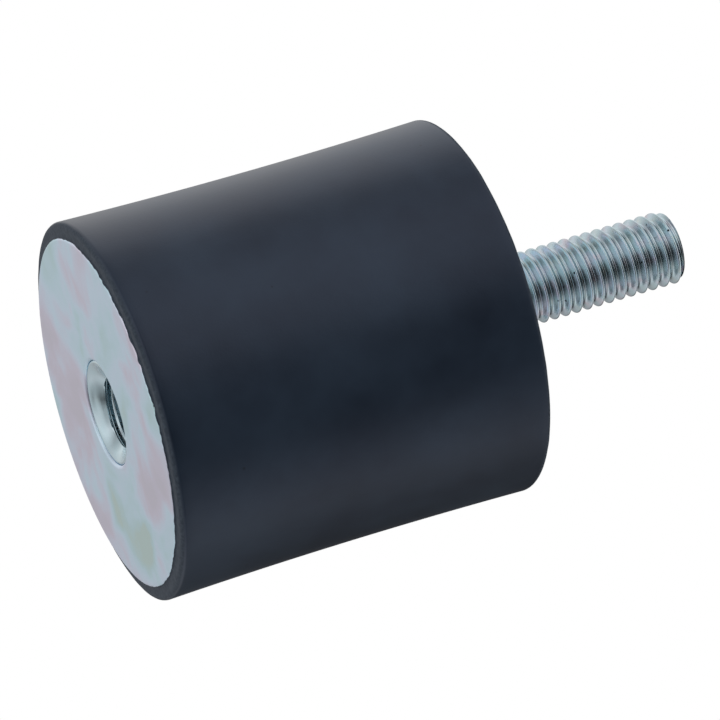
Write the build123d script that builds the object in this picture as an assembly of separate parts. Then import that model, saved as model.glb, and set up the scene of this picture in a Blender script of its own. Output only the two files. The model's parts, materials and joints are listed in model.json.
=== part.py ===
from build123d import *
import os
from math import radians, tan

# Bonded rubber buffer with an M8 stud on one side and a blind M8 thread on the other.
# The origin is the centre of the outer face of the plate with the blind thread. +Z is the axis of
# the buffer, towards the stud. Every piece is turned, pressed or moulded round that axis.
# Sizes are in millimetres. The stud and the bore are plain, at the crests of their threads.

# Whole buffer
buffer_height = 40.3
body_diameter = 39.5
thread_diameter = 8.0
thread_pitch = 1.25

# Rubber body: one shallow hollow from rim to rim, with a softer edge at the rim of the blind thread
waist_depth = 0.3
rim_setback = 0.2
threaded_rim_radius = 0.6
stud_rim_radius = 0.2

# Steel plates, bonded into the ends of the rubber
rubber_rim_width = 1.5
plate_thickness = 2.0
plate_edge_radius = 0.3

# Blind bush: a spigot pressed into the plate, and a shouldered barrel behind it
spigot_diameter = 11.0
spigot_sink = 0.45
barrel_shoulder = 1.5
barrel_edge_radius = 0.8
barrel_floor = 1.2
mouth_lip = 0.1
mouth_depth = 0.95
mouth_curve_radius = 2.0
bore_chamfer = 0.45
bore_depth = 9.5
drill_point_angle = 118.0

# Stud: a flat head in the rubber, a neck pressed into the plate, and the shank with its tip
stud_length = 23.0
crest_allowance = 0.1
tip_chamfer = 0.9
neck_step = 0.2
head_overhang = 2.9
head_thickness = 3.0
head_edge_radius = 0.6

# Sizes that follow from the ones above
mid_height = buffer_height / 2
body_radius = body_diameter / 2
waist_radius = body_radius - waist_depth
plate_radius = body_radius - rubber_rim_width
spigot_radius = spigot_diameter / 2
barrel_radius = spigot_radius + barrel_shoulder
bore_radius = (thread_diameter - thread_pitch) / 2
throat_radius = bore_radius + bore_chamfer
mouth_radius = spigot_radius - mouth_lip
throat_height = spigot_sink + mouth_depth
bore_point_height = bore_depth + bore_radius / tan(radians(drill_point_angle / 2))
barrel_top = bore_point_height + barrel_floor
shank_radius = thread_diameter / 2 - crest_allowance
neck_radius = shank_radius + neck_step
head_radius = neck_radius + head_overhang
stud_plate_inside = buffer_height - plate_thickness
head_bottom = stud_plate_inside - head_thickness
stud_end = buffer_height + stud_length


def round_bar(radius, bottom, top):
    """A cylinder on the axis between two heights."""
    bar = Cylinder(radius, top - bottom, align=(Align.CENTER, Align.CENTER, Align.MIN))
    return Pos(0, 0, bottom) * bar


def turned(outline):
    """A solid turned about the axis from a closed half section, drawn as radius and height."""
    return revolve(make_face(Plane.XZ * outline), Axis.Z)


def plate_blank():
    """A plate before its hole is made, with its outer face down and its outer edge rounded."""
    blank = round_bar(plate_radius, 0, plate_thickness)
    return fillet(blank.edges().group_by(Axis.Z)[0], plate_edge_radius)


def place_stud_plate(blank):
    """Turn a plate over and set it at the stud's end of the buffer."""
    return Pos(0, 0, buffer_height) * Rot(180, 0, 0) * blank


def bush_blank():
    """The bush before it is drilled: the barrel behind the plate and the spigot through it."""
    barrel = round_bar(barrel_radius, plate_thickness, barrel_top)
    barrel = fillet(barrel.edges().group_by(Axis.Z)[-1], barrel_edge_radius)
    return barrel + round_bar(spigot_radius, spigot_sink, plate_thickness)


def stud_head():
    """The flat head of the stud, which bears on the inside of its plate."""
    head = round_bar(head_radius, head_bottom, stud_plate_inside)
    return fillet(head.edges().group_by(Axis.Z)[0], head_edge_radius)


def bush_bore():
    """The drilled hole of the bush with its drill point, chamfer and bell mouth."""
    mouth = RadiusArc((mouth_radius, spigot_sink), (throat_radius, throat_height), mouth_curve_radius)
    rest = Polyline(
        (throat_radius, throat_height),
        (bore_radius, throat_height + bore_chamfer),
        (bore_radius, bore_depth),
        (0, bore_point_height),
        (0, spigot_sink),
        (mouth_radius, spigot_sink),
    )
    return turned(mouth + rest)


def hollow_radius(length):
    """Radius of the hollow that leaves a rim and is upright at the waist, so far along the axis."""
    return (length**2 + waist_depth**2) / (2 * waist_depth)


def rubber_half(rim_radius):
    """Half of the moulded outline, from the face round the plate up to the waist."""
    face_end = (body_radius - rim_radius, rim_setback)
    rim = (body_radius, rim_setback + rim_radius)
    waist = (waist_radius, mid_height)
    outline = Polyline((0, rim_setback), face_end)
    outline += RadiusArc(face_end, rim, -rim_radius)
    outline += RadiusArc(rim, waist, hollow_radius(mid_height - rim_setback - rim_radius))
    outline += Polyline(waist, (0, mid_height), (0, rim_setback))
    return turned(outline)


def rubber_blank():
    """The moulded outline of the rubber, before the metal takes its room."""
    return rubber_half(threaded_rim_radius) + mirror(rubber_half(stud_rim_radius), Plane.XY.offset(mid_height))


def rubber_body():
    """The rubber, moulded round both plates, the barrel of the bush and the head of the stud."""
    plates = plate_blank() + place_stud_plate(plate_blank())
    return rubber_blank() - plates - bush_blank() - stud_head()


def threaded_plate():
    """The plate with the bush: its hole takes the spigot and is bevelled down to the spigot's end."""
    hole = round_bar(spigot_radius, 0, plate_thickness)
    bevel = turned(
        Polyline((0, 0), (spigot_radius + spigot_sink, 0), (spigot_radius, spigot_sink), (0, spigot_sink), (0, 0))
    )
    return plate_blank() - hole - bevel


def threaded_bush():
    """The blind bush, with its bell mouth a little below the face of the plate."""
    return bush_blank() - bush_bore()


def stud_plate():
    """The plate with the stud, holed for the stud's neck."""
    return place_stud_plate(plate_blank()) - round_bar(neck_radius, stud_plate_inside, buffer_height)


def threaded_stud():
    """The headed stud: head, neck in the plate and shank with a bevelled tip."""
    shank = round_bar(shank_radius, buffer_height, stud_end)
    shank = chamfer(shank.edges().group_by(Axis.Z)[-1], tip_chamfer)
    return stud_head() + round_bar(neck_radius, stud_plate_inside, buffer_height) + shank


os.makedirs("parts", exist_ok=True)
export_step(rubber_body(), "parts/rubber_body.step")
export_step(threaded_plate(), "parts/threaded_plate.step")
export_step(threaded_bush(), "parts/threaded_bush.step")
export_step(stud_plate(), "parts/stud_plate.step")
export_step(threaded_stud(), "parts/threaded_stud.step")
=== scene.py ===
"""Looks of a rubber buffer: a rubber cylinder moulded between two zinc-plated steel plates.

One plate holds a blind bush with an M8 thread, the other an M8 stud. Every piece is round about the
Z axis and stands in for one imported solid. Lengths are in metres. Angles are given in degrees and
worked out in radians.
"""

from __future__ import annotations

import json
import logging
from collections.abc import Callable, Iterable, Sequence
from dataclasses import dataclass
from enum import Enum

import bpy
import numpy as np
from bpy.types import ID, Material, Node, NodeSocket, NodeTree, Object
from mathutils import Matrix, Vector

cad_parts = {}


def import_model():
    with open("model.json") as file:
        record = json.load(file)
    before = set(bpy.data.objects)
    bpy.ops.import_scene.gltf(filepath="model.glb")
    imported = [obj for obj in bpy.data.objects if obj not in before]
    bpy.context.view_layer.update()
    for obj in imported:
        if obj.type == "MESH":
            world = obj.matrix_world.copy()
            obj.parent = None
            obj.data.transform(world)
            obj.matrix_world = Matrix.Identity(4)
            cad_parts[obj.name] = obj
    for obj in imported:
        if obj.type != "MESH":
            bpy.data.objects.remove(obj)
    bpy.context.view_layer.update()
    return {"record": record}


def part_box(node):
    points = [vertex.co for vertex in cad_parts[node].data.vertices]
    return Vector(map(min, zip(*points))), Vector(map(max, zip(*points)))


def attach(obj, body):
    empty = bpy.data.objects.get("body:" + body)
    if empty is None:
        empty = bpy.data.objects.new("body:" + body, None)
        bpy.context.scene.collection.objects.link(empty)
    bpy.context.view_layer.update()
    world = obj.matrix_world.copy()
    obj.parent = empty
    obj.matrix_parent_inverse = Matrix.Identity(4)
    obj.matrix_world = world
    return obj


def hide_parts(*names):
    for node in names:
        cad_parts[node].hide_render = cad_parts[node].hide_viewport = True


MM = 0.001
FULL_TURN = 2.0 * np.pi
WELD = 1e-8  # Points nearer than this are one.
Source = Node | NodeSocket  # What can feed an input. A node does so by its first output.

log = logging.getLogger("rubber_buffer")


def linear_colour(code: str) -> tuple[float, float, float, float]:
    """Turn an sRGB hex colour into the linear one that a shader takes.

    Args:
        code: The colour as six hex digits after a hash sign.

    Returns:
        Linear red, green and blue, and an alpha of 1.
    """
    levels = np.array([int(code[at : at + 2], 16) for at in (1, 3, 5)]) / 255.0
    bright = ((levels + 0.055) / 1.055) ** 2.4
    red, green, blue = np.where(levels <= 0.04045, levels / 12.92, bright).tolist()
    return red, green, blue, 1.0


def grey(level: float) -> tuple[float, float, float, float]:
    """Linear colour of an even grey."""
    return level, level, level, 1.0


def per_metre(size: float) -> float:
    """Scale of a pattern on Object coordinates whose features are this many metres across."""
    return 1.0 / size


def smooth_step(value: np.ndarray, low: float, high: float) -> np.ndarray:
    """Rise from 0 at low to 1 at high, with no kink at either end: 3 s squared less 2 s cubed."""
    share = np.clip((value - low) / (high - low), 0.0, 1.0)
    return share * share * (3.0 - 2.0 * share)


def soft_least(first: np.ndarray, second: np.ndarray, blend: float) -> np.ndarray:
    """Take the lesser of two values, rounded off where they differ by less than the blend.

    With h the share by which their difference falls short of the blend, it is the lesser value less
    h squared times a quarter of the blend, and exactly the lesser value everywhere else.
    """
    near = np.clip(1.0 - np.abs(first - second) / blend, 0.0, 1.0)
    return np.minimum(first, second) - near * near * blend / 4.0


def ragged(angle: np.ndarray, waves: Sequence[int], seed: int) -> np.ndarray:
    """Draw an uneven line round a circle, from -1 to 1, the same on every run.

    It is a sum of cosines of whole numbers of waves round the circle, each with a seeded phase and a
    height that falls as the square root of its number, so the line closes on itself.

    Args:
        angle: The angles to draw it at.
        waves: The numbers of waves.
        seed: The seed of the phases.

    Returns:
        The line's value at each angle.
    """
    count = np.array(waves, float)[:, None]
    phase = np.random.default_rng(seed).uniform(0.0, FULL_TURN, count.shape)
    total = (np.cos(count * angle[None, :] + phase) / np.sqrt(count)).sum(axis=0)
    return total / np.abs(total).max()


@dataclass(frozen=True)
class Corner:
    """A corner of an outline: its radius and height, and the radius that rounds it off."""

    radius: float
    height: float
    rounding: float = 0.0


def unit(vector: np.ndarray) -> np.ndarray:
    """The vector's direction, one long."""
    return vector / np.linalg.norm(vector)


def corner_arc(
    before: np.ndarray, at: np.ndarray, after: np.ndarray, rounding: float, steps: int
) -> np.ndarray:
    """Round off a corner.

    With a and b the directions of its two sides and h half the angle between them, the centre lies
    rounding / sin h from the corner along a + b. The arc sweeps evenly between the centre's feet.

    Args:
        before: The point that the outline comes from.
        at: The corner.
        after: The point that the outline goes on to.
        rounding: The radius of the arc, or 0 for a sharp corner.
        steps: The number of equal steps along the arc.

    Returns:
        The points of the arc, or the corner alone.
    """
    if rounding == 0.0:
        return at[None]
    back, on = unit(before - at), unit(after - at)
    half = np.arccos(np.clip(back @ on, -1.0, 1.0)) / 2.0
    centre = at + unit(back + on) * rounding / np.sin(half)
    first = at + back * rounding / np.tan(half) - centre
    last = at + on * rounding / np.tan(half) - centre
    sweep = np.pi - 2.0 * half
    share = np.linspace(0.0, 1.0, steps + 1)[:, None]
    blend = np.sin((1.0 - share) * sweep) * first + np.sin(share * sweep) * last
    return centre + blend / np.sin(sweep)


def rounded_outline(
    corners: Sequence[Corner], steps: int = 5, guard: float = 0.06 * MM, stride: float = 1.5 * MM
) -> np.ndarray:
    """Draw an outline through corners, with arcs in place of the rounded ones.

    Args:
        corners: The corners in order, from the first point to the last.
        steps: The number of equal steps along each arc.
        guard: How far from each end of a straight side a row keeps its shading flat.
        stride: The longest step along a straight side.

    Returns:
        Radius and height of each row.
    """
    spots = np.array([(corner.radius, corner.height) for corner in corners])
    runs = [spots[:1]]
    for before, at, after, corner in zip(spots, spots[1:], spots[2:], corners[1:]):
        runs.append(corner_arc(before, at, after, corner.rounding, steps))
    runs.append(spots[-1:])
    rows = [runs[0]]
    for left, right in zip(runs, runs[1:]):
        length = np.linalg.norm(right[0] - left[-1])
        if length > 4.0 * guard:
            edge = guard / length
            share = np.linspace(edge, 1.0 - edge, 1 + max(1, int(np.ceil(length / stride))))[:, None]
            rows.append(left[-1] + share * (right[0] - left[-1]))
        rows.append(right)
    return np.vstack(rows)


def all_round(outline: np.ndarray, around: int) -> tuple[np.ndarray, np.ndarray]:
    """Radius and height by row and angle, for an outline that is the same at every angle."""
    radii, heights = (np.repeat(column[:, None], around, axis=1) for column in outline.T)
    return radii, heights


@dataclass(frozen=True)
class ThreadForm:
    """A metric thread, as a form of radius over height that climbs by the pitch in each turn.

    The outer radius is a stud's ridge or a bore's groove. An outermost line, with its flat, passes
    angle 0 at the start. The flank leans from the radius, and the rounding blurs the corners. A turn
    has so many rows, and the crowding, from 0 to 1, draws them closer at ridge and groove.
    """

    pitch: float
    outer: float
    inner: float
    start: float
    outer_flat: float
    rounding: float
    flank: float = 30.0
    rows: int = 24
    crowding: float = 0.5

    def shares(self) -> np.ndarray:
        """Places of the rows within a turn, closer together at the ridge and at the groove.

        The place is k / n less a quarter of sin(4 pi k / n) / pi times the crowding.
        """
        even = np.arange(self.rows) / self.rows
        return even - self.crowding / (4.0 * np.pi) * np.sin(4.0 * np.pi * even)

    def radius(self, height: np.ndarray, angle: np.ndarray, depth: np.ndarray | float = 1.0) -> np.ndarray:
        """Radius of the thread's surface.

        Away from the nearest outermost line, the form falls from the outer to the inner radius in a
        straight flank, and a bell-shaped window blurs it.

        Args:
            height: Height of each point.
            angle: Angle of each point.
            depth: The share of the full depth, to let the thread run out.

        Returns:
            The radius at each point.
        """
        samples = 720
        along = np.arange(samples) / samples * self.pitch
        off = np.minimum(along, self.pitch - along)
        width = (self.outer - self.inner) * np.tan(np.radians(self.flank))
        sharp = np.clip((off - self.outer_flat / 2.0) / width, 0.0, 1.0)
        window = np.exp(-0.5 * (off / self.rounding) ** 2)
        blurred = np.fft.ifft(np.fft.fft(sharp) * np.fft.fft(window / window.sum())).real
        form = (blurred - blurred.min()) / (blurred.max() - blurred.min()) * (self.outer - self.inner)
        place = (height - self.start - self.pitch * angle / FULL_TURN) % self.pitch
        return self.outer - depth * np.interp(place, along, form, period=self.pitch)


@dataclass(frozen=True)
class Skin:
    """A surface: points in metres, and four-cornered faces that index them, turning outwards."""

    points: np.ndarray
    quads: np.ndarray

    @classmethod
    def from_rows(cls, radius: np.ndarray, height: np.ndarray, climb: int = 0) -> Skin:
        """Join rows of points into a surface about the axis.

        The point of row i and angle a is (r cos a, r sin a, z), with r and z of that row and angle.
        A row that goes up or outwards along a bottom has its outside on the right.

        Args:
            radius: Radius by row and angle.
            height: Height by row and angle.
            climb: How many rows further on a row meets itself after a full turn: 0 for a ring.

        Returns:
            The surface, open at its first and last row unless they reach the axis.
        """
        rows, around = radius.shape
        angle = np.arange(around) * (FULL_TURN / around)
        points = np.stack([radius * np.cos(angle), radius * np.sin(angle), height], axis=-1)
        row, column = np.meshgrid(np.arange(rows - 1), np.arange(around), indexing="ij")
        at = row * around + column
        beside = np.where(column == around - 1, (row + climb) * around, at + 1)
        quads = np.stack([at, beside, beside + around, at + around], axis=-1).reshape(-1, 4)
        return cls(points.reshape(-1, 3), quads[quads.max(axis=1) < points.size // 3])

    @classmethod
    def turned(cls, outline: np.ndarray, around: int) -> Skin:
        """Turn an outline of radius and height about the axis, in so many steps."""
        return cls.from_rows(*all_round(outline, around))

    @classmethod
    def threaded(
        cls,
        form: ThreadForm,
        bottom: float,
        top: float,
        around: int,
        radius: Callable[[np.ndarray, np.ndarray], np.ndarray],
    ) -> Skin:
        """Lay a surface along a thread, so that each row follows the ridge up a right-hand helix.

        Row i of angle a lies at the height pitch times (turns of row i + a / full turn), held
        between bottom and top. After a full turn a row meets the one that began a turn higher.

        Args:
            form: The thread that the rows follow.
            bottom: The height of the lower end, which is a plain circle.
            top: The height of the upper end, which is a plain circle.
            around: The number of steps round the axis.
            radius: The radius as a function of height and angle.

        Returns:
            The surface between the two circles.
        """
        spare = 2  # Turns beyond each end, which are pressed into its circle.
        first = int(np.floor((bottom - form.start) / form.pitch)) - spare
        last = int(np.ceil((top - form.start) / form.pitch)) + spare
        turns = (np.arange(first, last)[:, None] + form.shares()[None, :]).reshape(-1)
        angle = np.arange(around) * (FULL_TURN / around)
        height = form.start + form.pitch * (turns[:, None] + angle[None, :] / FULL_TURN)
        height = np.clip(height, bottom, top)
        return cls.from_rows(radius(height, np.broadcast_to(angle, height.shape)), height, form.rows)

    def turned_out(self) -> Skin:
        """The same surface with its other side outwards."""
        return Skin(self.points, self.quads[:, ::-1])

    def mirrored(self, height: float) -> Skin:
        """The surface upside down between 0 and a height, still with its outside outwards."""
        return Skin(self.points * (1.0, 1.0, -1.0) + (0.0, 0.0, height), self.quads[:, ::-1])

    @staticmethod
    def joined(*skins: Skin) -> Skin:
        """Put surfaces into one, to be welded where their points meet."""
        starts = np.cumsum([0] + [len(skin.points) for skin in skins[:-1]])
        quads = [skin.quads + start for skin, start in zip(skins, starts)]
        return Skin(np.vstack([skin.points for skin in skins]), np.vstack(quads))

    def to_object(self, name: str, sharp_from: float = 35.0) -> Object:
        """Weld the points that meet, drop the faces that this closes up, and make a Blender object.

        Args:
            name: The name of the piece.
            sharp_from: The angle in degrees from which an edge is shaded as sharp.

        Returns:
            The object, at the origin, with its place in its mesh.
        """
        grid = np.round(self.points / WELD).astype(np.int64)
        _, first, place = np.unique(grid, axis=0, return_index=True, return_inverse=True)
        quads = place.reshape(-1)[self.quads]
        kept = quads != np.roll(quads, -1, axis=1)
        sides = kept.sum(axis=1)
        triangles = quads[sides == 3][kept[sides == 3]].reshape(-1, 3)
        mesh = bpy.data.meshes.new(name)
        faces = quads[sides == 4].tolist() + triangles.tolist()
        mesh.from_pydata(self.points[first].tolist(), [], faces)
        mesh.validate()
        mesh.shade_smooth()
        mesh.set_sharp_from_angle(angle=np.radians(sharp_from))
        piece = bpy.data.objects.new(name, mesh)
        bpy.context.scene.collection.objects.link(piece)
        return piece


class Recipe:
    """A node tree while it is being put together."""

    def __init__(self, tree: NodeTree) -> None:
        """Start from an empty tree.

        Args:
            tree: The node tree of a material or of the world.
        """
        self.tree = tree
        tree.nodes.clear()

    def add(
        self,
        kind: str,
        inputs: dict[str | int, object] | None = None,
        stops: Iterable[tuple[float, Sequence[float]]] = (),
        **settings: object,
    ) -> Node:
        """Add one node with its settings and links.

        Args:
            kind: The node's type name after "ShaderNode".
            inputs: Its inputs by name or number, each a value, the output that feeds it, or the node
                whose first output does.
            stops: For a colour ramp, its places and colours.
            settings: Its other properties by name.

        Returns:
            The node.
        """
        node = self.tree.nodes.new("ShaderNode" + kind)
        for name, value in settings.items():
            setattr(node, name, value)
        for key, value in (inputs or {}).items():
            if isinstance(value, Node):
                value = value.outputs[0]
            if isinstance(value, NodeSocket):
                self.tree.links.new(value, node.inputs[key])
            else:
                node.inputs[key].default_value = value
        for count, (place, colour) in enumerate(stops):
            elements = node.color_ramp.elements
            element = elements[count] if count < 2 else elements.new(place)
            element.position, element.color = place, colour
        return node


def start_material(name: str) -> tuple[Material, Recipe, Source]:
    """Start a material with nothing in it.

    Args:
        name: The name of the material.

    Returns:
        The material, its node tree, and the place on the piece in Object coordinates.
    """
    material = bpy.data.materials.new(name)
    material.use_nodes = True
    recipe = Recipe(material.node_tree)
    return material, recipe, recipe.add("TexCoord").outputs["Object"]


@dataclass(frozen=True)
class Spots:
    """Small round spots, scattered one to a cell of a Voronoi pattern.

    Attributes:
        colour: Their colour.
        spacing: The size of the cells.
        radius: The radius of a spot's core.
        reach: Where a spot has faded out, in radii of its core.
        bare: The share of the cells that have none.
    """

    colour: str
    spacing: float
    radius: float
    reach: float
    bare: float

    def over(self, recipe: Recipe, place: Source, colour: Source) -> Source:
        """Lay the spots over a colour.

        Args:
            recipe: The node tree.
            place: The place on the piece.
            colour: The colour between the spots.

        Returns:
            The colour with the spots.
        """
        cells = recipe.add("TexVoronoi", {"Vector": place, "Scale": per_metre(self.spacing)})
        chance = recipe.add("SeparateColor", {0: cells.outputs["Color"]})
        chosen = recipe.add("Math", {0: chance, 1: self.bare}, operation="GREATER_THAN")
        core = self.radius / self.spacing
        fade = {"From Min": core, "From Max": self.reach * core, "To Min": 1.0, "To Max": 0.0}
        spot = recipe.add("MapRange", {"Value": cells.outputs["Distance"], **fade})
        mask = recipe.add("Math", {0: spot, 1: chosen}, operation="MULTIPLY")
        mix = {0: mask, 6: colour, 7: linear_colour(self.colour)}
        return recipe.add("Mix", mix, data_type="RGBA").outputs[2]


@dataclass(frozen=True)
class MouldedRubber:
    """Natural rubber, filled with carbon black and compression-moulded.

    The polished mould leaves a satin skin with a soft sheen at a low angle. The trimmed rim at each
    end is matt and a little rough. Bloom makes faint paler clouds, and there are a few dark specks.
    """

    half_height: float
    dark: str = "#121d2a"
    bloom: str = "#202d3b"
    clouds: tuple[float, float] = (0.36, 0.66)
    cloud_size: float = 13.0 * MM
    gloss_tint: str = "#dce4ff"
    skin_roughness: float = 0.36
    roughness_swing: float = 0.05
    grain_size: float = 0.25 * MM
    grain_height: float = 0.006 * MM
    specks: Spots = Spots("#0e151c", 3.2 * MM, 0.09 * MM, reach=2.0, bare=0.72)
    rim_dark: str = "#222c35"
    rim_pale: str = "#343e47"
    rim_grains: tuple[float, float] = (0.38, 0.64)
    rim_grain_size: float = 0.35 * MM
    rim_grain_height: float = 0.03 * MM
    rim_roughness: float = 0.7
    rim_depth: float = 0.55 * MM
    rim_waver: float = 0.15 * MM
    rim_waver_size: float = 1.2 * MM
    ior: float = 1.58

    def on_rim(self, recipe: Recipe, place: Source) -> Source:
        """Tell the rims from the skin by the distance from the middle of the buffer.

        Args:
            recipe: The node tree.
            place: The place on the piece.

        Returns:
            A mask, 0 on the skin and 1 on the rims.
        """
        height = recipe.add("SeparateXYZ", {0: place}).outputs["Z"]
        off = recipe.add("Math", {0: height, 1: self.half_height}, operation="SUBTRACT")
        away = recipe.add("Math", {0: off}, operation="ABSOLUTE")
        scale = per_metre(self.rim_waver_size)
        uneven = recipe.add("TexNoise", {"Vector": place, "Scale": scale, "Detail": 3.0})
        wavering = recipe.add("Math", {0: uneven, 1: self.rim_waver, 2: away}, operation="MULTIPLY_ADD")
        start = self.half_height - self.rim_depth
        rise = {"From Min": start, "From Max": start + self.rim_depth / 2.0}
        return recipe.add("MapRange", {"Value": wavering, **rise}, interpolation_type="SMOOTHSTEP")

    def material(self) -> Material:
        """Mix the look of the skin and the look of the rims.

        Returns:
            The material.
        """
        material, recipe, place = start_material("moulded_natural_rubber")
        rim = self.on_rim(recipe, place)
        scale = per_metre(self.cloud_size)
        clouds = recipe.add("TexNoise", {"Vector": place, "Scale": scale, "Detail": 4.0, "Roughness": 0.55})
        stops = zip(self.clouds, map(linear_colour, (self.dark, self.bloom)))
        skin = recipe.add("ValToRGB", {0: clouds}, stops)
        scale = per_metre(self.rim_grain_size)
        rim_grain = recipe.add("TexNoise", {"Vector": place, "Scale": scale, "Detail": 4.0})
        stops = zip(self.rim_grains, map(linear_colour, (self.rim_dark, self.rim_pale)))
        rim_colour = recipe.add("ValToRGB", {0: rim_grain}, stops)
        mix = {0: rim, 6: self.specks.over(recipe, place, skin), 7: rim_colour}
        colour = recipe.add("Mix", mix, data_type="RGBA").outputs[2]
        low, high = self.skin_roughness - self.roughness_swing, self.skin_roughness + self.roughness_swing
        satin = recipe.add("MapRange", {"Value": clouds, "To Min": low, "To Max": high})
        roughness = recipe.add("Mix", {0: rim, 2: satin, 3: self.rim_roughness})
        scale = per_metre(self.grain_size)
        grain = recipe.add("TexNoise", {"Vector": place, "Scale": scale, "Detail": 2.0})
        fine = recipe.add("Bump", {"Distance": self.grain_height, "Height": grain})
        relief = {"Distance": self.rim_grain_height, "Height": rim_grain}
        coarse = recipe.add("Bump", {"Strength": rim, "Normal": fine, **relief})
        shader = recipe.add(
            "BsdfPrincipled",
            {
                "Base Color": colour,
                "Roughness": roughness,
                "IOR": self.ior,
                "Specular Tint": linear_colour(self.gloss_tint),
                "Normal": coarse,
            },
        )
        recipe.add("OutputMaterial", {"Surface": shader})
        return material


@dataclass(frozen=True)
class Patch:
    """A soft round patch of thicker or thinner film: its middle, its radius and the change in it.

    The change is whole within the core and gone at the rim, which are shares of the radius.
    """

    x: float
    y: float
    radius: float
    change: float
    core: float = 0.2
    rim: float = 1.4


@dataclass(frozen=True)
class PassivatedZinc:
    """Steel, electroplated with zinc and passivated blue.

    The clear film over the zinc is about as thick as a wave of light is long, so it tints the metal
    in soft clouds, from rose through lilac and blue to green, as its thickness wanders.

    The tints go from thin film to thick, and tinted says where in the noise the first and the last
    of them lie. Patches are where the bath left the film thicker or thinner, with outlines that
    waver. Pits are where dirt has stayed. A film of rubber lies on the metal from rubber_radius
    outwards, with a torn edge, or nowhere if that radius is 0.
    """

    name: str
    tints: tuple[str, ...]
    cloud_size: float
    roughness: float
    grain_size: float
    grain_height: float
    roughness_swing: float = 0.06
    pits: Spots | None = None
    patches: tuple[Patch, ...] = ()
    waver: float = 8.0 * MM
    waver_size: float = 6.0 * MM
    tinted: tuple[float, float] = (0.29, 0.71)
    rubber: str = "#2b2e33"
    rubber_radius: float = 0.0
    rubber_roughness: float = 0.7
    tear: float = 0.9 * MM
    tear_size: float = 1.4 * MM
    tear_softness: float = 0.05 * MM

    def add_patches(self, recipe: Recipe, place: Source, clouds: Source) -> Source:
        """Add the patches to the clouds, each with a wavering outline.

        Args:
            recipe: The node tree.
            place: The place on the piece.
            clouds: The thickness of the film without the patches.

        Returns:
            The thickness with them.
        """
        scale = per_metre(self.waver_size)
        shift = recipe.add("TexNoise", {"Vector": place, "Scale": scale, "Detail": 3.0}).outputs["Color"]
        waver = (self.waver, self.waver, 0.0)
        moved = recipe.add("VectorMath", {0: shift, 1: waver, 2: place}, operation="MULTIPLY_ADD")
        for patch in self.patches:
            middle = (patch.x + self.waver / 2.0, patch.y + self.waver / 2.0, 0.0)
            off = recipe.add("VectorMath", {0: moved, 1: middle}, operation="DISTANCE").outputs["Value"]
            fade = {"From Min": patch.core * patch.radius, "From Max": patch.rim * patch.radius}
            change = recipe.add(
                "MapRange",
                {"Value": off, "To Min": patch.change, "To Max": 0.0, **fade},
                interpolation_type="SMOOTHSTEP",
            )
            clouds = recipe.add("Math", {0: clouds, 1: change})
        return clouds

    def on_rubber(self, recipe: Recipe, place: Source) -> Source:
        """Find the torn film of rubber, which lies beyond a ragged circle.

        Args:
            recipe: The node tree.
            place: The place on the piece.

        Returns:
            A mask, 0 on bare metal and 1 on the rubber.
        """
        axes = recipe.add("SeparateXYZ", {0: place})
        flat = recipe.add("CombineXYZ", {0: axes, 1: axes.outputs[1]})
        reach = recipe.add("VectorMath", {0: flat}, operation="LENGTH").outputs["Value"]
        scale = per_metre(self.tear_size)
        torn = recipe.add("TexNoise", {"Vector": flat, "Scale": scale, "Detail": 5.0, "Roughness": 0.65})
        edge = recipe.add("Math", {0: torn, 1: self.tear, 2: reach}, operation="MULTIPLY_ADD")
        rise = {"From Min": self.rubber_radius, "From Max": self.rubber_radius + self.tear_softness}
        return recipe.add("MapRange", {"Value": edge, **rise})

    def material(self) -> Material:
        """Tint the metal by the thickness of its film, with a fine unevenness on top.

        Returns:
            The material.
        """
        material, recipe, place = start_material(self.name)
        scale = per_metre(self.cloud_size)
        noise = {"Detail": 3.0, "Roughness": 0.5, "Distortion": 0.4}
        clouds: Source = recipe.add("TexNoise", {"Vector": place, "Scale": scale, **noise})
        if self.patches:
            clouds = self.add_patches(recipe, place, clouds)
        steps = np.linspace(*self.tinted, len(self.tints)).tolist()
        colour: Source = recipe.add("ValToRGB", {0: clouds}, zip(steps, map(linear_colour, self.tints)))
        scale = per_metre(self.grain_size)
        grain = recipe.add("TexNoise", {"Vector": place, "Scale": scale, "Detail": 3.0})
        low, high = self.roughness - self.roughness_swing, self.roughness + self.roughness_swing
        roughness = recipe.add("MapRange", {"Value": grain, "To Min": low, "To Max": high})
        metallic: float | Source = 1.0
        if self.pits:
            colour = self.pits.over(recipe, place, colour)
        if self.rubber_radius:
            rubber = self.on_rubber(recipe, place)
            mix = {0: rubber, 6: colour, 7: linear_colour(self.rubber)}
            colour = recipe.add("Mix", mix, data_type="RGBA").outputs[2]
            roughness = recipe.add("Mix", {0: rubber, 2: roughness, 3: self.rubber_roughness})
            metallic = recipe.add("Mix", {0: rubber, 2: 1.0, 3: 0.0})
        bump = recipe.add("Bump", {"Distance": self.grain_height, "Height": grain})
        shader = recipe.add(
            "BsdfPrincipled",
            {"Base Color": colour, "Metallic": metallic, "Roughness": roughness, "Normal": bump},
        )
        recipe.add("OutputMaterial", {"Surface": shader})
        return material


@dataclass(frozen=True)
class Envelope:
    """The room of a packed round node: its radius and its two heights."""

    radius: float
    bottom: float
    top: float

    @classmethod
    def of(cls, node: str) -> Envelope:
        """Read a node's box from the frame."""
        lowest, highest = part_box(node)
        return cls(max(highest.x, highest.y), lowest.z, highest.z)


def place_piece(piece: Object, node: str, finish: MouldedRubber | PassivatedZinc) -> None:
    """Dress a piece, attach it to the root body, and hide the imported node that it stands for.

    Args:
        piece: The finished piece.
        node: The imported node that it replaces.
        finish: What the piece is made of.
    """
    piece.data.materials.append(finish.material())
    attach(piece, "root")
    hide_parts(node)
    log.info("%s: %d faces", piece.name, len(piece.data.polygons))


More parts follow.
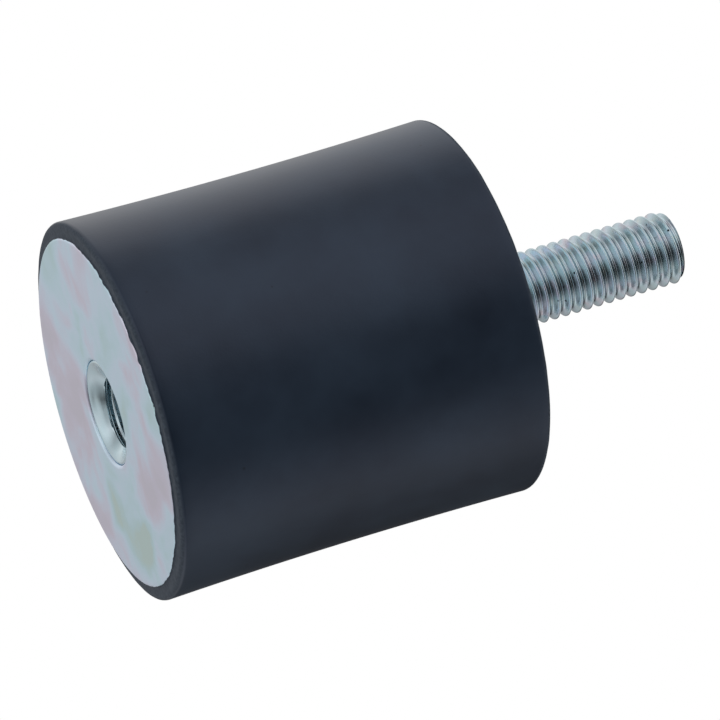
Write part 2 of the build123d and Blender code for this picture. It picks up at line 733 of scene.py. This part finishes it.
@dataclass(frozen=True)
class RubberBody:
    """The moulded rubber: one shallow hollow from rim to rim, and the room that the metal takes in it.

    The torn film reaches film_reach degrees round the plate's edge, give or take film_swing, and
    twice that swing at the angle torn_towards. It runs into the rim over the width of the bond.
    torn_side and trimmed_side are spans of the cosine of the angle to the middle of that side.
    """

    room: Envelope
    plate: Envelope
    bush: Envelope
    stud: Envelope
    height: float
    plate_edge: float
    waist_depth: float = 0.3 * MM
    threaded_rim: float = 0.6 * MM
    stud_rim: float = 0.2 * MM
    barrel_edge: float = 0.8 * MM
    head_edge: float = 0.6 * MM
    film_thickness: float = 0.02 * MM
    film_reach: float = 46.0
    film_swing: float = 14.0
    film_blend: float = 0.06 * MM
    torn_towards: float = 254.0
    torn_side: tuple[float, float] = (0.8, 0.95)
    bond: float = 0.15 * MM
    rim_blend: float = 0.4 * MM
    trimmed_away: float = 0.24 * MM
    trimmed_side: tuple[float, float] = (-0.3, 0.7)
    rim_unevenness: float = 0.03 * MM
    around: int = 384

    def skin_outline(self, rim: float) -> np.ndarray:
        """Outline of the outer skin from the face of the rim to mid height.

        The rim's edge is a quarter circle. The hollow is an arc of radius (length squared + depth
        squared) / (2 x depth), which leaves the rim's edge and is upright at mid height.

        Args:
            rim: The radius of the rim's edge.

        Returns:
            Radius and height of each row.
        """
        turn = np.linspace(-np.pi / 2.0, 0.0, 11)
        start = self.room.bottom + rim
        edge = np.column_stack([self.room.radius - rim * (1.0 - np.cos(turn)), start + rim * np.sin(turn)])
        length = self.height / 2.0 - start
        hollow = (length**2 + self.waist_depth**2) / (2.0 * self.waist_depth)
        waist = self.room.radius - self.waist_depth
        run = length * (1.0 - np.linspace(0.0, 1.0, 25)[1:])
        rise = np.column_stack([waist + hollow - np.sqrt(hollow**2 - run**2), self.height / 2.0 - run])
        return np.vstack([edge, rise])

    def half(
        self, depth: float, radius: float, edge: float, rounding: float, trim: float, seed: int
    ) -> Skin:
        """One half of the rubber, with the outer face of its plate at height 0.

        Rows run from the middle of the metal's far end, along the metal, over the plate's rounded
        edge and back as a thin torn film, across the rim, and up the outer skin. The rim's face was
        trimmed lower towards +Y.

        Args:
            depth: How far the barrel or the head reaches in from the plate's outer face.
            radius: The radius of the barrel or the head.
            edge: The rounding of its far edge.
            rounding: The rounding of the rubber's own edge.
            trim: How much lower its face was trimmed at the lowest place.
            seed: The seed of the torn film and the uneven rim.

        Returns:
            The half, open at mid height.
        """
        angle = np.arange(self.around) * (FULL_TURN / self.around)
        thickness = self.plate.top - self.plate.bottom
        inside = rounded_outline(
            [
                Corner(0.0, depth),
                Corner(radius, depth, edge),
                Corner(radius, thickness),
                Corner(self.plate.radius, thickness),
                Corner(self.plate.radius, self.plate_edge),
            ],
            stride=4.0 * MM,
        )
        rougher = 1.0 + smooth_step(np.cos(angle - np.radians(self.torn_towards)), *self.torn_side)
        swing = np.radians(self.film_swing) * rougher * ragged(angle, range(15, 150, 3), seed)
        sweep = np.linspace(0.0, 1.0, 6)[1:, None] * (np.radians(self.film_reach) + swing)
        corner = self.plate.radius - self.plate_edge
        under_r = corner + self.plate_edge * np.cos(sweep)
        under_z = self.plate_edge * (1.0 - np.sin(sweep))
        bonded = self.plate.radius + self.bond
        over_r = under_r[-1] + np.linspace(0.0, 1.0, 9)[:, None] * (bonded - under_r[-1])
        reach = np.clip((over_r - corner) / self.plate_edge, 0.0, 1.0)
        metal = self.plate_edge * (1.0 - np.sqrt(1.0 - reach**2))
        face = np.full_like(metal, self.room.bottom)
        over_z = soft_least(metal - self.film_thickness, face, self.film_blend)
        over_z = np.maximum(over_z, 0.0)  # Where it tears furthest in, the film ends level with the plate.
        outline = self.skin_outline(rounding)
        rim_r = np.linspace(bonded, outline[0, 0], 7)[1:-1]
        rim = np.column_stack([rim_r, np.full_like(rim_r, self.room.bottom)])
        inside_r, inside_z = all_round(inside, self.around)
        outside_r, outside_z = all_round(np.vstack([rim, outline]), self.around)
        radii = np.vstack([inside_r, under_r, over_r, outside_r])
        heights = np.vstack([inside_z, under_z, over_z, outside_z])
        on_rim = smooth_step(radii, self.plate.radius, self.plate.radius + self.rim_blend)
        on_rim = on_rim * (1.0 - smooth_step(heights, self.room.bottom, self.room.bottom + rounding))
        lower = trim * smooth_step(np.sin(angle), *self.trimmed_side)
        uneven = self.rim_unevenness * ragged(angle, range(5, 60, 3), seed + 1)
        return Skin.from_rows(radii, heights + on_rim * (lower + uneven))

    def build(self) -> None:
        """Make the two halves and set one at each end."""
        barrel = (self.bush.top, self.bush.radius, self.barrel_edge)
        head = (self.height - self.stud.bottom, self.stud.radius, self.head_edge)
        near = self.half(*barrel, rounding=self.threaded_rim, trim=self.trimmed_away, seed=11)
        far = self.half(*head, rounding=self.stud_rim, trim=0.0, seed=23)
        piece = Skin.joined(near, far.mirrored(self.height)).to_object("moulded_rubber")
        place_piece(piece, "rubber_body", MouldedRubber(half_height=self.height / 2.0))


class PlateEnd(Enum):
    """The end of the buffer that a plate closes."""

    THREADED = "threaded_plate"
    STUD = "stud_plate"


@dataclass(frozen=True)
class SteelPlate:
    """A round plate, blanked and holed in a press, with its outer edge rounded.

    The torn film of rubber begins film_offset outside it, from where its tears reach in.
    """

    end: PlateEnd
    room: Envelope
    height: float
    edge: float
    hole: float
    bevel: float
    patches: tuple[Patch, ...] = (
        Patch(-8.0 * MM, 8.0 * MM, 8.0 * MM, -0.12),
        Patch(1.0 * MM, 12.0 * MM, 6.0 * MM, -0.2),
        Patch(-16.5 * MM, 0.0 * MM, 5.0 * MM, 0.05),
        Patch(-8.0 * MM, -8.0 * MM, 7.0 * MM, 0.1),
        Patch(-1.0 * MM, -16.0 * MM, 5.0 * MM, 0.06),
        Patch(9.5 * MM, 3.0 * MM, 7.0 * MM, 0.15),
        Patch(5.0 * MM, 13.0 * MM, 4.0 * MM, 0.15),
        Patch(8.0 * MM, -8.0 * MM, 6.0 * MM, -0.14),
    )
    breaking: float = 0.06 * MM
    film_offset: float = 0.42 * MM
    around: int = 320

    def build(self) -> None:
        """Turn the plate's outline, with its outer face at height 0, and set it at its own end."""
        thickness = self.room.top - self.room.bottom
        rim = [Corner(self.hole, 0.0, self.breaking)]
        if self.bevel:
            rim = [
                Corner(self.hole, self.bevel, 2.0 * self.breaking),
                Corner(self.hole + self.bevel, 0.0, 2.0 * self.bevel),
            ]
        outline = rounded_outline(
            [
                Corner(self.hole, thickness / 2.0),
                *rim,
                Corner(self.room.radius, 0.0, self.edge),
                Corner(self.room.radius, thickness, self.breaking),
                Corner(self.hole, thickness, self.breaking),
                Corner(self.hole, thickness / 2.0),
            ]
        )
        skin = Skin.turned(outline, self.around)
        if self.end is PlateEnd.STUD:
            skin = skin.mirrored(self.height)
        piece = skin.to_object(f"pressed_{self.end.value}")
        finish = PassivatedZinc(
            name=f"blue_passivated_zinc_{self.end.name.lower()}",
            tints=("#d6d1df", "#dad5e5", "#dadff0", "#d5e7f7", "#cde6f2", "#c5e0e6", "#c6dbd8"),
            cloud_size=9.0 * MM,
            roughness=0.36,
            grain_size=0.35 * MM,
            grain_height=0.004 * MM,
            patches=self.patches if self.end is PlateEnd.THREADED else (),
            rubber_radius=self.room.radius + self.film_offset,
        )
        place_piece(piece, self.end.value, finish)


@dataclass(frozen=True)
class BlindBush:
    """The turned bush, pressed into its plate from behind, with a bell mouth and a tapped bore.

    Its end stands below the plate's face by the sink. The bell begins a lip's width inside the
    spigot's edge and ends at the throat, bell_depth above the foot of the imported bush. The tapped
    wall begins where the bell is mouth_margin wider than the thread, and ends drill_margin before
    the drill point.
    """

    room: Envelope
    bore: float
    plate_thickness: float
    spigot: float = 5.5 * MM
    sink: float = 0.2 * MM
    shoulder: float = 0.28 * MM
    barrel_edge: float = 0.8 * MM
    lip: float = 0.3 * MM
    bell_radius: float = 3.5 * MM
    bell_depth: float = 0.55 * MM
    chamfer: float = 0.6 * MM
    bore_depth: float = 9.5 * MM
    drill_angle: float = 118.0
    pitch: float = 1.25 * MM
    thread_outer: float = 4.02 * MM
    thread_start: float = 0.05 * MM
    groove_flat: float = 0.12 * MM
    groove_rounding: float = 0.03 * MM
    runout: float = 1.0 * MM
    bell_blend: float = 0.05 * MM
    mouth_margin: float = 0.2 * MM
    drill_margin: float = 0.3 * MM
    around: int = 192

    def bell(self) -> np.ndarray:
        """Outline of the bell mouth from its lip to its throat.

        The bell is an arc through the lip and the throat, bulging into the opening. Its centre lies
        on the perpendicular through the middle of the chord, on the side of the metal.

        Returns:
            Radius and height of each row.
        """
        lip = np.array([self.spigot - self.lip, self.sink])
        throat = np.array([self.bore + self.chamfer, self.room.bottom + self.bell_depth])
        chord = throat - lip
        span = np.linalg.norm(chord)
        side = np.array([chord[1], -chord[0]]) / span
        centre = (lip + throat) / 2.0 + side * np.sqrt(self.bell_radius**2 - (span / 2.0) ** 2)
        start, end = (np.arctan2(*(point - centre)[::-1]) % FULL_TURN for point in (lip, throat))
        turn = np.linspace(start, end, 17)
        return centre + self.bell_radius * np.column_stack([np.cos(turn), np.sin(turn)])

    def build(self) -> None:
        """Turn the bore's end, the tapped wall, the bell mouth and the outside, and weld them."""
        bell = self.bell()
        radii, heights = bell.T
        join = int(np.argmin(np.abs(radii - (self.thread_outer + self.mouth_margin))))
        wall_r = np.append(radii, [self.bore, self.bore])
        wall_z = np.append(heights, [heights[-1] + self.chamfer, self.bore_depth])
        form = ThreadForm(
            pitch=self.pitch,
            outer=self.thread_outer,
            inner=self.bore,
            start=self.thread_start,
            outer_flat=self.groove_flat,
            rounding=self.groove_rounding,
            rows=20,
        )

        def wall(height: np.ndarray, angle: np.ndarray) -> np.ndarray:
            """The greater of the bell's radius and the thread's, which runs out near the bottom."""
            fading = self.bore_depth - 1.5 * self.runout
            depth = 1.0 - smooth_step(height, fading, fading + self.runout)
            groove = self.bore + (form.radius(height, angle) - self.bore) * depth
            return -soft_least(-groove, -np.interp(height, wall_z, wall_r), self.bell_blend)

        top = self.bore_depth - self.drill_margin
        point = self.bore_depth + self.bore / np.tan(np.radians(self.drill_angle / 2.0))
        drilled = [Corner(0.0, point), Corner(self.bore, self.bore_depth), Corner(self.bore, top)]
        bottom = Skin.turned(rounded_outline(drilled), self.around)
        tapped = Skin.threaded(form, heights[join], top, self.around, wall).turned_out()
        mouth = Skin.turned(bell[join::-1], self.around)
        outside = rounded_outline(
            [
                Corner(*bell[0]),
                Corner(self.spigot, self.sink, self.shoulder),
                Corner(self.spigot, self.plate_thickness),
                Corner(self.room.radius, self.plate_thickness),
                Corner(self.room.radius, self.room.top, self.barrel_edge),
                Corner(0.0, self.room.top),
            ]
        )
        skins = (bottom, tapped, mouth, Skin.turned(outside, self.around))
        piece = Skin.joined(*skins).to_object("tapped_bush")
        finish = PassivatedZinc(
            name="bright_zinc_bush",
            tints=("#c2d3d8", "#bed3db", "#c3d2da"),
            cloud_size=4.0 * MM,
            roughness=0.18,
            grain_size=0.3 * MM,
            grain_height=0.003 * MM,
        )
        place_piece(piece, "threaded_bush", finish)


@dataclass(frozen=True)
class ThreadedStud:
    """The headed stud: its head in the rubber, its neck in the plate, and its rolled thread.

    The shank is plain for plain_foot above the seat, and the threaded surface ends plain_tip short
    of the end face.
    """

    room: Envelope
    seat: float
    shank: float
    neck: float
    head_thickness: float
    head_edge: float = 0.6 * MM
    tip_rounding: float = 0.9 * MM
    pitch: float = 1.25 * MM
    thread_depth: float = 0.66 * MM
    thread_start: float = 0.125 * MM
    crest_flat: float = 0.05 * MM
    crest_rounding: float = 0.125 * MM
    runout: float = 1.2 * MM
    plain_foot: float = 0.2 * MM
    plain_tip: float = 0.12 * MM
    tip_blend: float = 0.08 * MM
    head_breaking: float = 0.1 * MM
    neck_breaking: float = 0.06 * MM
    around: int = 168

    def build(self) -> None:
        """Turn the head and the neck, roll the thread over the shank, and round off the tip."""
        form = ThreadForm(
            pitch=self.pitch,
            outer=self.shank,
            inner=self.shank - self.thread_depth,
            start=self.thread_start,
            outer_flat=self.crest_flat,
            rounding=self.crest_rounding,
        )
        bottom, top = self.seat + self.plain_foot, self.room.top - self.plain_tip
        end_radius, tip_start = self.shank - self.tip_rounding, self.room.top - self.tip_rounding

        def rolled(height: np.ndarray, angle: np.ndarray) -> np.ndarray:
            """The lesser of the thread's radius, which starts shallow, and that of the round tip."""
            depth = smooth_step(height, bottom, bottom + self.runout)
            over = np.clip(height - tip_start, 0.0, self.tip_rounding)
            dome = end_radius + np.sqrt(self.tip_rounding**2 - over**2)
            return soft_least(form.radius(height, angle, depth), dome, self.tip_blend)

        head_top = self.room.bottom + self.head_thickness
        outline = rounded_outline(
            [
                Corner(0.0, self.room.bottom),
                Corner(self.room.radius, self.room.bottom, self.head_edge),
                Corner(self.room.radius, head_top, self.head_breaking),
                Corner(self.neck, head_top),
                Corner(self.neck, self.seat, self.neck_breaking),
                Corner(self.shank, self.seat),
                Corner(self.shank, bottom),
            ]
        )
        base = Skin.turned(outline, self.around)
        thread = Skin.threaded(form, bottom, top, self.around, rolled)
        turn = np.linspace(np.arcsin((top - tip_start) / self.tip_rounding), np.pi / 2.0, 7)
        arc = self.tip_rounding * np.column_stack([np.cos(turn), np.sin(turn)])
        face = [(0.8 * end_radius, self.room.top), (0.0, self.room.top)]  # A row keeps it flat in shading.
        tip = Skin.turned(np.vstack([arc + (end_radius, tip_start), face]), self.around)
        piece = Skin.joined(base, thread, tip).to_object("rolled_stud")
        finish = PassivatedZinc(
            name="bright_zinc_stud",
            tints=("#d0cad2", "#c3cfd9", "#bdd2d8", "#c6cfcf"),
            cloud_size=1.8 * MM,
            roughness=0.24,
            grain_size=0.25 * MM,
            grain_height=0.004 * MM,
            pits=Spots("#14191d", 1.3 * MM, 0.09 * MM, reach=1.8, bare=0.6),
        )
        place_piece(piece, "threaded_stud", finish)


def aimed(
    name: str, data: ID, place: Sequence[float], target: Sequence[float], roll: float = 0.0
) -> Object:
    """Stand a camera or a lamp at a place, aim it, and roll it about its line of sight.

    Args:
        name: Its name.
        data: Its camera or light data.
        place: Where it stands.
        target: The point that it faces.
        roll: The angle of the roll in degrees.

    Returns:
        Its object.
    """
    item = bpy.data.objects.new(name, data)
    aim = (Vector(target) - Vector(place)).to_track_quat("-Z", "Y").to_matrix().to_4x4()
    item.matrix_world = Matrix.Translation(place) @ aim @ Matrix.Rotation(np.radians(roll), 4, "Z")
    bpy.context.scene.collection.objects.link(item)
    return item


@dataclass(frozen=True)
class Camera:
    """The photograph's point of view, with a long lens, from below the plate's face."""

    eye: tuple[float, float, float] = (14.05 * MM, -516.914 * MM, -136.247 * MM)
    target: tuple[float, float, float] = (2.156 * MM, 0.0, 27.308 * MM)
    roll: float = 73.451
    lens: float = 266.451
    sensor: float = 36.0

    def place(self) -> None:
        """Aim the camera from its eye at its target, and roll it about that line."""
        data = bpy.data.cameras.new("photo_camera")
        data.sensor_width = self.sensor
        data.lens = self.lens
        data.clip_start, data.clip_end = 0.01, 10.0
        bpy.context.scene.camera = aimed("photo_camera", data, self.eye, self.target, self.roll)


@dataclass(frozen=True)
class Lamp:
    """A soft lamp, given by what it alone makes of a white surface that faces it."""

    name: str
    place: tuple[float, float, float]
    size: float
    level: float

    def hang(self, target: Vector) -> None:
        """Hang the lamp at its place, facing the target.

        A lamp of P watts at a distance d lights a white surface to P / (pi squared x d squared).

        Args:
            target: The point that it faces.
        """
        data = bpy.data.lights.new(self.name, "AREA")
        data.shape = "DISK"
        data.size = self.size
        data.energy = self.level * (np.pi * (target - Vector(self.place)).length) ** 2
        aimed(self.name, data, self.place, target).visible_glossy = False


@dataclass(frozen=True)
class Ring:
    """One ring of the surroundings.

    Attributes:
        height: The height of its directions, as the sine of their angle over the floor.
        levels: How bright it is at even steps of angle, from behind the buffer and back there. The
            middle value lies on the photograph's side, and the later ones towards its upper edge.
    """

    height: float
    levels: tuple[float, ...]

    def stops(self) -> list[tuple[float, tuple[float, ...]]]:
        """Places from 0 to 1 round the ring and their greys, closed at the end by the first."""
        count = len(self.levels)
        return [(step / count, grey(self.levels[step % count])) for step in range(count + 1)]


@dataclass(frozen=True)
class Studio:
    """A pale floor under the buffer, two soft lamps, and the soft surroundings that metal reflects."""

    middle: Vector
    fill: float = 0.6
    paper: str = "#fbfbfb"
    floor_gap: float = 0.1 * MM
    floor_radii: tuple[float, ...] = (0.0, 0.1, 0.3, 1.5)
    floor_around: int = 96
    shadow_radius: float = 40.0 * MM
    white_radius: float = 200.0 * MM
    lamps: tuple[Lamp, ...] = (
        Lamp("key", (-0.75, 0.2, 0.3), 0.5, 0.3),
        Lamp("front", (-0.1, -0.6, -0.6), 0.5, 0.15),
    )
    rings: tuple[Ring, ...] = (
        Ring(-1.0, (0.8,)),
        Ring(-0.9, (0.85, 0.3, 0.5, 0.2, 0.0, 0.0, 0.0, 0.2, 0.6, 1.0, 1.0, 1.0)),
        Ring(-0.7, (0.55, 0.75, 0.45, 0.25, 0.2, 0.25, 0.8, 1.0, 1.0, 0.4, 0.5, 0.65)),
        Ring(-0.3, (0.55, 0.55, 1.0, 0.8, 0.25, 0.0, 0.0, 1.0, 1.0, 0.7, 0.6, 1.0)),
        Ring(0.05, (0.4, 0.15, 0.45, 0.3, 0.0, 0.0, 0.0, 0.1, 0.2, 0.2, 1.0, 0.75)),
        Ring(
            0.35,
            (0.35, 0.0, 0.0, 0.0, 0.0, 0.35, 0.65, 0.55, 0.35, 0.0, 0.0, 0.0)
            + (0.0, 0.75, 1.0, 1.0, 0.9, 0.5, 0.3, 1.0, 1.0, 1.0, 1.0, 0.65),
        ),
        Ring(0.7, (0.95, 1.0, 1.0, 1.0, 0.4, 0.25, 1.0, 1.0, 1.0, 1.0, 1.0, 1.0)),
        Ring(1.0, (1.0,)),
    )

    def surroundings(self, recipe: Recipe) -> Source:
        """Work out how bright the surroundings are in a direction.

        The angle round the buffer picks a level on each ring, and the height blends the two rings
        that it lies between.

        Args:
            recipe: The world's node tree.

        Returns:
            The colour of the surroundings.
        """
        direction = recipe.add("TexCoord").outputs["Generated"]
        axes = recipe.add("SeparateXYZ", {0: direction}).outputs
        to_top = recipe.add("Math", {0: axes[0], 1: -1.0}, operation="MULTIPLY")
        to_camera = recipe.add("Math", {0: axes[1], 1: -1.0}, operation="MULTIPLY")
        angle = recipe.add("Math", {0: to_top, 1: to_camera}, operation="ARCTAN2")
        turns = recipe.add("Math", {0: angle, 1: 1.0 / FULL_TURN, 2: 0.5}, operation="MULTIPLY_ADD")
        levels = [recipe.add("ValToRGB", {0: turns}, ring.stops()) for ring in self.rings]
        mixed: Source = levels[0]
        for below, ring, level in zip(self.rings, self.rings[1:], levels[1:]):
            span = {"From Min": below.height, "From Max": ring.height}
            rise = recipe.add("MapRange", {"Value": axes[2], **span})
            mixed = recipe.add("Mix", {0: rise, 6: mixed, 7: level}, data_type="RGBA").outputs[2]
        return mixed

    def light_world(self) -> None:
        """Make the world: white to the eye, the surroundings to gloss, and an even fill."""
        world = bpy.data.worlds.new("studio")
        world.use_nodes = True
        world.cycles.sampling_method = "NONE"
        bpy.context.scene.world = world
        recipe = Recipe(world.node_tree)
        around = self.surroundings(recipe)
        is_ray = recipe.add("LightPath").outputs
        through = {0: is_ray["Is Camera Ray"], 1: is_ray["Is Transmission Ray"]}
        seen = recipe.add("Math", through, operation="MAXIMUM")
        mix = {0: is_ray["Is Glossy Ray"], 6: grey(self.fill), 7: around}
        lit = recipe.add("Mix", mix, data_type="RGBA").outputs[2]
        shown = recipe.add("Mix", {0: seen, 6: lit, 7: grey(1.0)}, data_type="RGBA").outputs[2]
        background = recipe.add("Background", {"Color": shown})
        recipe.add("OutputWorld", {"Surface": background})

    def lay_floor(self) -> None:
        """Lay a pale floor that only the camera sees, and only from above.

        Within the shadow's radius it is a plain diffuse surface. From there to the white radius it
        turns into the white of the background.
        """
        rings = np.array([[radius, -self.floor_gap] for radius in self.floor_radii])
        floor = Skin.turned(rings, self.floor_around).turned_out().to_object("floor")
        material, recipe, place = start_material("pale_paper")
        reach = recipe.add("VectorMath", {0: place}, operation="LENGTH").outputs["Value"]
        span = {"From Min": self.shadow_radius, "From Max": self.white_radius}
        far = recipe.add("MapRange", {"Value": reach, **span}, interpolation_type="SMOOTHSTEP")
        paper = recipe.add("BsdfDiffuse", {"Color": linear_colour(self.paper)})
        white = recipe.add("Emission", {"Color": grey(1.0)})
        top = recipe.add("MixShader", {0: far, 1: paper, 2: white})
        eye = recipe.add("LightPath").outputs["Is Camera Ray"]
        under = recipe.add("NewGeometry").outputs["Backfacing"]
        over = recipe.add("Math", {0: 1.0, 1: under}, operation="SUBTRACT")
        shown = recipe.add("Math", {0: eye, 1: over}, operation="MULTIPLY")
        clear = recipe.add("BsdfTransparent")
        surface = recipe.add("MixShader", {0: shown, 1: clear, 2: top})
        recipe.add("OutputMaterial", {"Surface": surface})
        floor.data.materials.append(material)

    def set_up(self) -> None:
        """Lay the floor, light the world and hang the lamps, with colours shown as they are."""
        bpy.context.scene.view_settings.view_transform = "Standard"
        self.lay_floor()
        self.light_world()
        for lamp in self.lamps:
            lamp.hang(self.middle)


def mount_sizes(record: dict, name: str) -> dict[str, float]:
    """Find a mount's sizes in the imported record, in millimetres."""
    return next(mount["dims"] for mount in record["mounts"] if mount["name"] == name)


def main() -> None:
    """Load the frame, make each piece of the buffer, and set up the studio."""
    logging.basicConfig(level=logging.INFO, format="%(message)s")
    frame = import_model()
    record = frame["record"]
    rubber, plate = Envelope.of("rubber_body"), Envelope.of("threaded_plate")
    bush, stud = Envelope.of("threaded_bush"), Envelope.of("threaded_stud")
    stud_plate = Envelope.of("stud_plate")
    height, edge, neck_step = stud_plate.top, 0.3 * MM, 0.2 * MM
    thickness = plate.top - plate.bottom
    shank = mount_sizes(record, "stud")["r_mm"] * MM
    neck = shank + neck_step
    RubberBody(rubber, plate, bush, stud, height, edge).build()
    SteelPlate(PlateEnd.THREADED, plate, height, edge, hole=5.5 * MM, bevel=0.2 * MM).build()
    SteelPlate(PlateEnd.STUD, stud_plate, height, edge, hole=neck, bevel=0.0).build()
    BlindBush(bush, mount_sizes(record, "internal_thread")["r_mm"] * MM, thickness).build()
    ThreadedStud(stud, height, shank, neck, head_thickness=stud_plate.bottom - stud.bottom).build()
    Camera().place()
    Studio(middle=Vector((0.0, 0.0, height / 2.0))).set_up()


if __name__ == "__main__":
    main()
